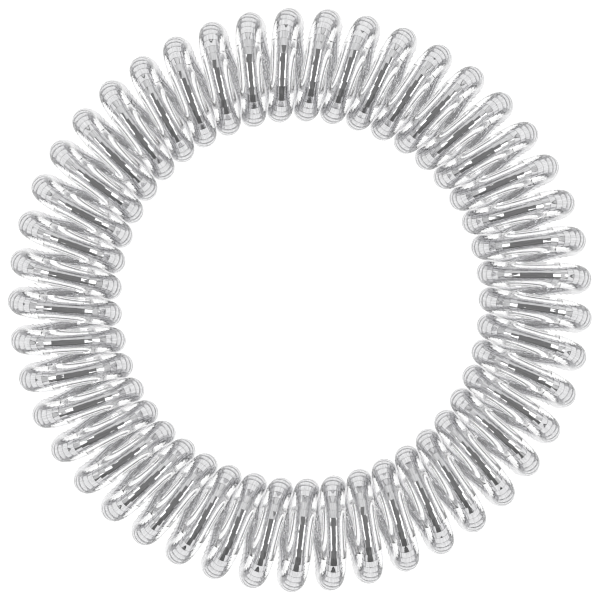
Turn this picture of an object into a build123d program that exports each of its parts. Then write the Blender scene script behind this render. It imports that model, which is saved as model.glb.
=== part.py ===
"""Spiral hair tie: a closed ring of coiled elastic cord.

One round cord, clear plastic over a thin silver core, is wound into a close coil. The coil is bent
into a ring, and the two ends of the cord are welded together. Each turn of the coil is a node of
its own, because the ring stretches by its turns moving apart, and the weld is a node between the
last turn and the first. A turn's solid is the whole cord, with the core inside it.

The origin is the centre of the ring, +Z is the ring's axis, and turn_01 meets the +X axis at its
inner side. The cord starts each turn at the outside of the ring, goes over the top to the inside,
and comes back underneath.
"""

from build123d import *
import math
import os

# Driving dimensions, in millimetres
ring_diameter = 50.0  # over the outside of the turns
coil_diameter = 9.75  # over one turn, and so the height of the ring
cord_diameter = 2.16
turn_count = 45
weld_length = 0.5
weld_swell = 0.05  # how far the weld stands out from the cord
weld_rim_radius = 0.03

# The weld lies at the end of this turn, opposite turn_01
weld_turn = 23

# Angles round the coil are in degrees: 0 is the outside of the ring, 90 the top, 180 the inside
cut_angle = 300.0  # where one turn ends and the next begins, low on the outside
runs_per_turn = 12
arc_share = 0.8  # how much of each run its two arcs take up

# Sizes worked out from the driving dimensions
cord_radius = cord_diameter / 2
winding_radius = (coil_diameter - cord_diameter) / 2
ring_radius = (ring_diameter - coil_diameter) / 2
turn_pitch = 360.0 / turn_count
run_step = 360.0 / runs_per_turn
corner_radius = winding_radius / math.cos(math.radians(run_step / 2))


def route_corner(coil_angle):
    """A corner of the cord's route, which advances round the ring as it goes round the coil."""
    ring_angle = math.radians((coil_angle - 180.0) / turn_count)
    coil_angle = math.radians(coil_angle)
    reach = ring_radius + corner_radius * math.cos(coil_angle)
    height = corner_radius * math.sin(coil_angle)
    return Vector(reach * math.cos(ring_angle), reach * math.sin(ring_angle), height)


def turn_route():
    """Centre line of turn_01: straight runs joined by tangent arcs, cut halfway along a run."""
    first_angle = cut_angle - 360.0 - run_step / 2
    corners = [route_corner(first_angle + run_step * step) for step in range(runs_per_turn + 2)]
    start = (corners[0] + corners[1]) * 0.5
    end = (corners[-2] + corners[-1]) * 0.5
    radii = []
    for before, corner, after in zip(corners, corners[1:], corners[2:]):
        run_in = corner - before
        run_out = after - corner
        half_turn = math.radians(run_in.get_angle(run_out) / 2)
        shorter = min(run_in.length, run_out.length)
        radii.append(arc_share * shorter / 2 / math.tan(half_turn))
    print(f"arc radii {min(radii):.3f} to {max(radii):.3f} mm")
    return FilletPolyline(start, *corners[1:-1], end, radius=radii)


def cord_tube(route):
    """Round cord along a route."""
    section = Plane(origin=route @ 0, z_dir=route % 0) * Circle(cord_radius)
    tube = sweep(section, path=route)
    expected = math.pi * cord_radius**2 * route.length
    print(f"turn: {route.length:.3f} mm of cord, {tube.volume:.3f} mm3, {expected:.3f} expected")
    return tube


def weld_bead(place):
    """Disc of fused cord with a rounded rim, along the cord's direction at the join."""
    disc = Cylinder(cord_radius + weld_swell, weld_length)
    return place * fillet(disc.edges().filter_by(GeomType.CIRCLE), weld_rim_radius)


def turn_name(number):
    return f"turn_{number:02d}"


route = turn_route()
turn = cord_tube(route)
join_angle = turn_pitch * (weld_turn - 1)
join = Plane(origin=route @ 1, z_dir=route % 1)
weld = Rot(0, 0, join_angle) * weld_bead(join)

shapes = {"weld_bead": weld}
for number in range(1, turn_count + 1):
    placed = Rot(0, 0, turn_pitch * (number - 1)) * turn
    if number in (weld_turn, weld_turn + 1):
        placed = placed - weld
    shapes[turn_name(number)] = placed

os.makedirs("parts", exist_ok=True)
for name, shape in shapes.items():
    export_step(shape, f"parts/{name}.step")
print(f"{len(shapes)} nodes, ring {ring_diameter} mm across, {coil_diameter} mm high")
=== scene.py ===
"""Looks of the spiral hair tie: a clear cord with a silver core, coiled into a ring."""

import math

import bpy
import numpy as np
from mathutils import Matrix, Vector


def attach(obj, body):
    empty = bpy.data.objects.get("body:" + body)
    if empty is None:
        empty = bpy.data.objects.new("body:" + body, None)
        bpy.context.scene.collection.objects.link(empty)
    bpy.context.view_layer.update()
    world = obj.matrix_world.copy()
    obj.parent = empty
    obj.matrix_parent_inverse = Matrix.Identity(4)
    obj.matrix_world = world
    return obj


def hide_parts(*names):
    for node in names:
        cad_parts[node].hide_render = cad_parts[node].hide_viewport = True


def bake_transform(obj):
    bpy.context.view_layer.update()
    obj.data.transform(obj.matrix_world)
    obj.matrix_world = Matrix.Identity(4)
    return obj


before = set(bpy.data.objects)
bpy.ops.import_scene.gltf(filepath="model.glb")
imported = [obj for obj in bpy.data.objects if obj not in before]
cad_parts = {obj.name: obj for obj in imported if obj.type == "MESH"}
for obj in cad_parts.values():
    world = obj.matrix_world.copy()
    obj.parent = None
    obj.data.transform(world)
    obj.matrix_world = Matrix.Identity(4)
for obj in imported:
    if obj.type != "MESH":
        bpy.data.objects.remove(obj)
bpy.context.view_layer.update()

# The CAD model's dimensions, in metres and degrees
TURNS = 45
RING_RADIUS = 0.020125  # to the middle of the coil
COIL_RADIUS = 0.003795  # from the middle of the coil to the middle of the cord
CORD_RADIUS = 0.00108
PITCH = 360.0 / TURNS
WELD_TURN = 23
WELD_ANGLE = 300.0  # coil angle of the weld
WELD_REACH = 5.0  # coil angle over which the weld's swelling dies away
WELD_SWELL = 0.00004

# The silver core: straight lengths of foil, counted along the whole cord
CORE_RADIUS = 0.36 * CORD_RADIUS
FOIL_LENGTHS = 1731
FOIL_STEP = 360.0 * TURNS / FOIL_LENGTHS
FOIL_START = 8.3
RIM = 1.06  # of the core's radius
RIM_SHARE = 0.03  # of a length, at each end

# How finely the meshes are divided
CORD_SIDES = 48
CORE_SIDES = 32
NEAR = np.linspace(0, 180, 49)
FAR = np.linspace(180, 360, 49)
AT_WELD = np.linspace(WELD_ANGLE - WELD_REACH, WELD_ANGLE + WELD_REACH, 21)
FAR_WELD = np.unique(np.concatenate([FAR, AT_WELD]))
TURN_LENGTH = 2 * math.pi * COIL_RADIUS  # roughly, for laying the streaks along the cord
NUDGE = 0.05  # coil angle, for finding tangents


def ring_angle(phi, turn):
    """Angle round the ring, in radians, of the cord at coil angles phi."""
    return np.radians((phi - 180) / TURNS + PITCH * (turn - 1))


def route(phi, turn):
    """Middle of the cord at coil angles phi: 0 is the outer tip of the turn, 180 its inner tip."""
    theta = ring_angle(phi, turn)
    reach = RING_RADIUS + COIL_RADIUS * np.cos(np.radians(phi))
    height = COIL_RADIUS * np.sin(np.radians(phi))
    return np.stack([reach * np.cos(theta), reach * np.sin(theta), height], -1)


def sections(phi, turn, sides):
    """Centre and tangent of the cord at coil angles phi, and the directions out to its sides."""
    centre = route(phi, turn)
    tangent = route(phi + NUDGE, turn) - route(phi - NUDGE, turn)
    tangent /= np.linalg.norm(tangent, axis=1)[:, None]
    theta = ring_angle(phi, turn)
    middle = RING_RADIUS * np.stack([np.cos(theta), np.sin(theta), 0 * theta], -1)
    across = centre - middle
    across -= tangent * (across * tangent).sum(1)[:, None]
    across /= np.linalg.norm(across, axis=1)[:, None]
    up = np.cross(tangent, across)
    cosines, sines = circle(sides)
    return centre, tangent, across[:, None] * cosines[:, None] + up[:, None] * sines[:, None]


def circle(sides):
    angle = 2 * math.pi * np.arange(sides) / sides
    return np.cos(angle), np.sin(angle)


def along_cord(turn, phi):
    """Distance along the whole cord."""
    return TURN_LENGTH * (turn - 1 + phi / 360)


def straighten(places, sides, radius):
    """Points of a tube on the straightened cord, from the distances of its rings along it."""
    ring = np.stack(circle(sides), -1) * radius
    return np.concatenate([np.tile(ring, (len(places), 1)), np.repeat(places, sides)[:, None]], -1)


def tube_faces(rings, sides):
    """Faces of a tube of rings of points: the quads of its wall, and its two end discs."""
    side = np.arange(sides)
    beside = (side + 1) % sides
    ring = np.arange(rings - 1)[:, None] * sides
    after = ring + sides
    wall = np.stack([ring + side, ring + beside, after + beside, after + side], -1).reshape(-1, 4)
    return wall, [side[::-1].tolist(), (side + (rings - 1) * sides).tolist()]


def build(name, points, faces, normals, kinds, straight, materials):
    """A mesh object with its exact normals, and its points' places on the straightened cord, which
    the materials use."""
    mesh = bpy.data.meshes.new(name)
    mesh.from_pydata(points.tolist(), [], faces)
    for m in materials:
        mesh.materials.append(m)
    mesh.polygons.foreach_set("use_smooth", [True] * len(faces))
    mesh.polygons.foreach_set("material_index", kinds)
    mesh.normals_split_custom_set(np.asarray(normals).tolist())
    cord = mesh.attributes.new("cord", "FLOAT_VECTOR", "POINT")
    cord.data.foreach_set("vector", np.asarray(straight, dtype=np.float32).reshape(-1))
    mesh.update()
    piece = bpy.data.objects.new(name, mesh)
    bpy.context.collection.objects.link(piece)
    return piece


def sheath_tube(name, turn, phi, materials):
    """A closed length of clear cord along coil angles phi. Its end discs, where it goes on into the
    next length, take the second material."""
    centre, tangent, out = sections(phi, turn, CORD_SIDES)
    radius = np.full(phi.shape, CORD_RADIUS)
    if turn == WELD_TURN and phi[-1] > WELD_ANGLE:
        radius += WELD_SWELL * np.clip(1 - ((phi - WELD_ANGLE) / WELD_REACH) ** 2, 0, 1) ** 2
    points = (centre[:, None] + out * radius[:, None, None]).reshape(-1, 3)
    slope = np.gradient(radius, np.radians(phi) * COIL_RADIUS)
    smooth = out - tangent[:, None] * slope[:, None, None]
    smooth = (smooth / np.linalg.norm(smooth, axis=2)[..., None]).reshape(-1, 3)
    flat = np.repeat([-tangent[0], tangent[-1]], CORD_SIDES, 0)
    wall, ends = tube_faces(len(phi), CORD_SIDES)
    normals = np.concatenate([smooth[wall.reshape(-1)], flat])
    straight = straighten(along_cord(turn, phi), CORD_SIDES, CORD_RADIUS)
    kinds = [0] * len(wall) + [1, 1]
    return build(name, points, wall.tolist() + ends, normals, kinds, straight, materials)


def foil_profile(low, high):
    """Stops between two shares of a foil length, each a share and the core's size there: a body of
    size 1 with a raised rim at each end."""
    walls = [(RIM_SHARE, RIM), (RIM_SHARE, 1.0), (1 - RIM_SHARE, 1.0), (1 - RIM_SHARE, RIM)]
    first, last = [(share, RIM if abs(share - 0.5) > 0.5 - RIM_SHARE else 1.0) for share in (low, high)]
    return [first] + [stop for stop in walls if low < stop[0] < high] + [last]


def core_tube(name, turn, phi, materials):
    """The core between two coil angles: straight lengths of foil, round across, which meet at fine
    raised rims. The rims' walls take the second material."""
    first, last = phi[0], phi[-1]
    offset = 360 * (turn - 1) - FOIL_START
    low_bend = math.floor((first + offset) / FOIL_STEP)
    bends = np.arange(low_bend, math.ceil((last + offset) / FOIL_STEP) + 1) * FOIL_STEP - offset
    centre, _, out = sections(bends, turn, CORE_SIDES)
    band, _ = tube_faces(2, CORE_SIDES)
    points, places, normals, kinds, lines = [], [], [], [], []
    for row in range(len(bends) - 1):
        span = bends[row + 1] - bends[row]
        line = centre[row + 1] - centre[row]
        length = np.linalg.norm(line)
        line = line / length
        lines.append(line)
        low, high = max(0.0, (first - bends[row]) / span), min(1.0, (last - bends[row]) / span)
        stops = foil_profile(low, high)
        spokes = [out[row] + (out[row + 1] - out[row]) * share for share, _ in stops]
        for i, (share, size) in enumerate(stops):
            if row > 0 and i == 0:  # it is the last stop of the length before
                continue
            points.append(centre[row] + line * length * share + spokes[i] * CORE_RADIUS * size)
            places.append(along_cord(turn, bends[row] + span * share))
        for i in range(1, len(stops)):
            is_wall = stops[i][0] == stops[i - 1][0]
            kinds += [int(is_wall)] * CORE_SIDES
            if is_wall:
                rise = stops[i][1] - stops[i - 1][1]
                normals.append(np.repeat([-line * np.sign(rise)], band.size, 0))
            else:
                smooth = np.concatenate(spokes[i - 1 : i + 1])
                smooth = smooth - line * (smooth @ line)[:, None]
                smooth = smooth / np.linalg.norm(smooth, axis=1)[:, None]
                normals.append(smooth[band.reshape(-1)])
    wall, ends = tube_faces(len(points), CORE_SIDES)
    normals = np.concatenate(normals + [np.repeat([-lines[0], lines[-1]], CORE_SIDES, 0)])
    straight = straighten(places, CORE_SIDES, CORE_RADIUS)
    points, faces, kinds = np.concatenate(points), wall.tolist() + ends, kinds + [0, 0]
    return build(name, points, faces, normals, kinds, straight, materials)


def material(name, **values):
    m = bpy.data.materials.new(name)
    m.use_nodes = True
    shader = m.node_tree.nodes["Principled BSDF"]
    for key, value in values.items():
        shader.inputs[key.replace("_", " ")].default_value = value
    return m


def cord_noise(m, grain, detail):
    """Noise on the straightened cord, with grains of a size across and along it."""
    nodes, links = m.node_tree.nodes, m.node_tree.links
    place = nodes.new("ShaderNodeAttribute")
    place.attribute_name = "cord"
    scale = nodes.new("ShaderNodeVectorMath")
    scale.operation = "MULTIPLY"
    links.new(place.outputs["Vector"], scale.inputs[0])
    scale.inputs[1].default_value = (1 / grain[0], 1 / grain[0], 1 / grain[1])
    noise = nodes.new("ShaderNodeTexNoise")
    noise.inputs["Scale"].default_value = 1.0
    noise.inputs["Detail"].default_value = detail
    links.new(scale.outputs[0], noise.inputs["Vector"])
    return noise.outputs["Fac"]


def vary(m, noise, socket, low, high):
    """Drives a shader input from noise, between two values or two colours."""
    nodes, links = m.node_tree.nodes, m.node_tree.links
    ramp = nodes.new("ShaderNodeValToRGB")
    for stop, position, value in zip(ramp.color_ramp.elements, NOISE_RANGE, (low, high)):
        stop.position = position
        stop.color = value if isinstance(value, tuple) else (value, value, value, 1)
    links.new(noise, ramp.inputs[0])
    links.new(ramp.outputs[0], nodes["Principled BSDF"].inputs[socket])


def bump(m, layers):
    """Raises the surface by noise: (noise, height in metres) for each layer."""
    nodes, links = m.node_tree.nodes, m.node_tree.links
    before = None
    for noise, height in layers:
        node = nodes.new("ShaderNodeBump")
        node.inputs["Strength"].default_value = 1.0
        node.inputs["Distance"].default_value = height
        links.new(noise, node.inputs["Height"])
        if before:
            links.new(before, node.inputs["Normal"])
        before = node.outputs[0]
    links.new(before, nodes["Principled BSDF"].inputs["Normal"])


NOISE_RANGE = (0.35, 0.65)  # most of the noise lies between these

# Sizes of the surfaces' fine detail, in metres: (across the cord, along it), and heights of relief
WAVES, WAVE_HEIGHT = (0.0012, 0.0016), 0.000006
DRAW_LINES, DRAW_LINE_HEIGHT = (0.00012, 0.004), 0.0000004
CLOUDS = (0.0002, 0.0006)
STREAKS, STREAK_HEIGHT = (0.00006, 0.0012), 0.0000015
GRAIN, GRAIN_HEIGHT = (0.00005, 0.00008), 0.0000006
FINE_GRAIN = (0.00003, 0.00005)
RIM_GRAIN = (0.00005, 0.00005)

# the extruded cord: water-clear, with a slight waviness and faint draw lines along it
clear = material("clear_plastic", Base_Color=(1, 1, 1, 1), IOR=1.47, Transmission_Weight=1.0)
waves, draw_lines = cord_noise(clear, WAVES, 1.0), cord_noise(clear, DRAW_LINES, 2.0)
bump(clear, [(waves, WAVE_HEIGHT), (draw_lines, DRAW_LINE_HEIGHT)])
vary(clear, cord_noise(clear, CLOUDS, 3.0), "Roughness", 0.0, 0.012)

# the foil: bright silver, drawn lengthwise, with fine grain
silver = material("silver_core", Metallic=1.0)
streaks = cord_noise(silver, STREAKS, 3.0)
vary(silver, streaks, "Base Color", (0.63, 0.63, 0.64, 1), (0.77, 0.77, 0.78, 1))
vary(silver, cord_noise(silver, FINE_GRAIN, 3.0), "Roughness", 0.0, 0.06)
bump(silver, [(streaks, STREAK_HEIGHT), (cord_noise(silver, GRAIN, 2.0), GRAIN_HEIGHT)])

# the walls of the rims where lengths of foil meet, darker and duller
seam = material("foil_joint", Metallic=1.0)
vary(seam, cord_noise(seam, RIM_GRAIN, 2.0), "Base Color", (0.2, 0.2, 0.2, 1), (0.3, 0.3, 0.3, 1))
vary(seam, cord_noise(seam, FINE_GRAIN, 2.0), "Roughness", 0.05, 0.15)

# the unseen cut across the clear cord between two pieces of it
cut = material("clear_join", Alpha=0.0)

for turn in range(1, TURNS + 1):
    body, after = f"turn_{turn:02d}", f"turn_{turn % TURNS + 1:02d}"
    for side in ("near", "far"):
        phi = NEAR if side == "near" else FAR_WELD if turn == WELD_TURN else FAR
        sheath = sheath_tube(f"{body}_{side}", turn, phi, [clear, cut])
        core = core_tube(f"{body}_{side}_core", turn, phi, [silver, seam])
        for piece, slot in ((sheath, "clear_cord"), (core, "silver_core")):
            if side == "near" or turn == WELD_TURN:
                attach(piece, body)
            else:  # a far half is left unattached, with its place baked into its mesh
                a = math.radians(PITCH * (turn - 1) + PITCH / 4)
                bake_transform(piece)
        if side == "near":
            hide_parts(body)
        elif turn == WELD_TURN:
            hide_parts("weld_bead")


# The studio
FLOOR_SIZE = 3
FLOOR_GLOW = 1.1
bpy.ops.mesh.primitive_plane_add(size=FLOOR_SIZE, location=(0, 0, -COIL_RADIUS - CORD_RADIUS))
floor = bpy.context.object
floor.name = "floor"
paper = material("floor_white", Base_Color=(0, 0, 0, 1), Roughness=1.0, Specular_IOR_Level=0.0,
                 Emission_Color=(1, 1, 1, 1), Emission_Strength=FLOOR_GLOW)
floor.data.materials.append(paper)

SOFTBOX_DISTANCE = 0.6
SOFTBOX_GLOW = 1.9
SOFTBOXES = (("softbox_west", 189, 52, 0.54, 0.22), ("softbox_east", -10, 57, 0.56, 0.26))
for name, azimuth, zenith, width, height in SOFTBOXES:
    data = bpy.data.lights.new(name, "AREA")
    data.shape, data.size, data.size_y = "RECTANGLE", width, height
    data.energy = SOFTBOX_GLOW * math.pi * width * height
    light = bpy.data.objects.new(name, data)
    a, b = math.radians(azimuth), math.radians(zenith)
    toward = Vector((math.cos(a) * math.sin(b), math.sin(a) * math.sin(b), math.cos(b)))
    light.location = toward * SOFTBOX_DISTANCE
    light.rotation_euler = toward.to_track_quat("Z", "Y").to_euler()
    light.visible_camera = False
    bpy.context.collection.objects.link(light)

world = bpy.data.worlds.new("studio")
bpy.context.scene.world = world
world.use_nodes = True
nodes, links = world.node_tree.nodes, world.node_tree.links


def wire(node, values, output):
    """Feeds a node from numbers or sockets. None leaves an input alone."""
    for socket, value in zip(node.inputs, values):
        if isinstance(value, (int, float)):
            socket.default_value = value
        elif value is not None:
            links.new(value, socket)
    return node.outputs[output]


def calculate(operation, *values):
    node = nodes.new("ShaderNodeMath")
    node.operation = operation
    return wire(node, values, 0)


def choose(share, below, above):
    """A mix of two values, from the first at share 0 to the second at share 1."""
    node = nodes.new("ShaderNodeMix")
    node.data_type = "FLOAT"
    return wire(node, (share, None, below, above), 0)


def step(value, edge, soft):
    """0 below an edge and 1 above it."""
    node = nodes.new("ShaderNodeMapRange")
    node.interpolation_type = "SMOOTHSTEP"
    return wire(node, (value, edge - soft, edge + soft), "Result")


# Each surface's brightness
CEILING, NORTH, SOUTH, SIDES, SKIRTING = 0.24, 0.9, 0.15, 0.7, 0.0
# The walls' edges, each with its softness, as tangents of the angle from straight up
NORTH_EDGE, SOUTH_EDGE, SIDE_EDGE, CORNER = (0.84, 0.06), (1.6, 0.3), (1.9, 0.1), (0.1, 0.1)
SKIRTING_TOP = (0.04, 0.01)  # sines of the height above the horizon
LOWEST = 0.02  # keeps the tangents finite

split = nodes.new("ShaderNodeSeparateXYZ")
links.new(nodes.new("ShaderNodeTexCoord").outputs["Generated"], split.inputs[0])
x, y, z = split.outputs
height = calculate("MAXIMUM", z, LOWEST)
east, north = calculate("DIVIDE", x, height), calculate("DIVIDE", y, height)
aside = calculate("ABSOLUTE", east)
beside = calculate("SUBTRACT", aside, calculate("ABSOLUTE", north))
is_side = calculate("MULTIPLY", step(aside, *SIDE_EDGE), step(beside, *CORNER))
room = choose(step(north, *NORTH_EDGE), CEILING, NORTH)
room = choose(step(calculate("MULTIPLY", north, -1.0), *SOUTH_EDGE), room, SOUTH)
room = choose(is_side, room, SIDES)
room = choose(step(z, *SKIRTING_TOP), SKIRTING, room)
shade = nodes.new("ShaderNodeCombineColor")
wire(shade, (room, room, room), 0)
links.new(shade.outputs[0], nodes["Background"].inputs["Color"])

# The camera looks straight down the ring's axis
DISTANCE = 1.0
VIEW_WIDTH = 0.0513
CAMERA_TURN = -0.2
SENSOR_WIDTH = 36  # mm
camera_data = bpy.data.cameras.new("camera")
camera_data.sensor_width = SENSOR_WIDTH
camera_data.lens = SENSOR_WIDTH * DISTANCE / VIEW_WIDTH
camera = bpy.data.objects.new("camera", camera_data)
camera.location = (0, 0, DISTANCE)
camera.rotation_euler = (0, 0, math.radians(CAMERA_TURN))
bpy.context.collection.objects.link(camera)

scene = bpy.context.scene
scene.camera = camera
scene.view_settings.view_transform = "Standard"
scene.cycles.filter_width = 1.1  # crisp edges, as in the photo
# light crosses many strands of clear cord
scene.cycles.max_bounces = 24
scene.cycles.transmission_bounces = 24
scene.cycles.glossy_bounces = 16
scene.cycles.transparent_max_bounces = 32
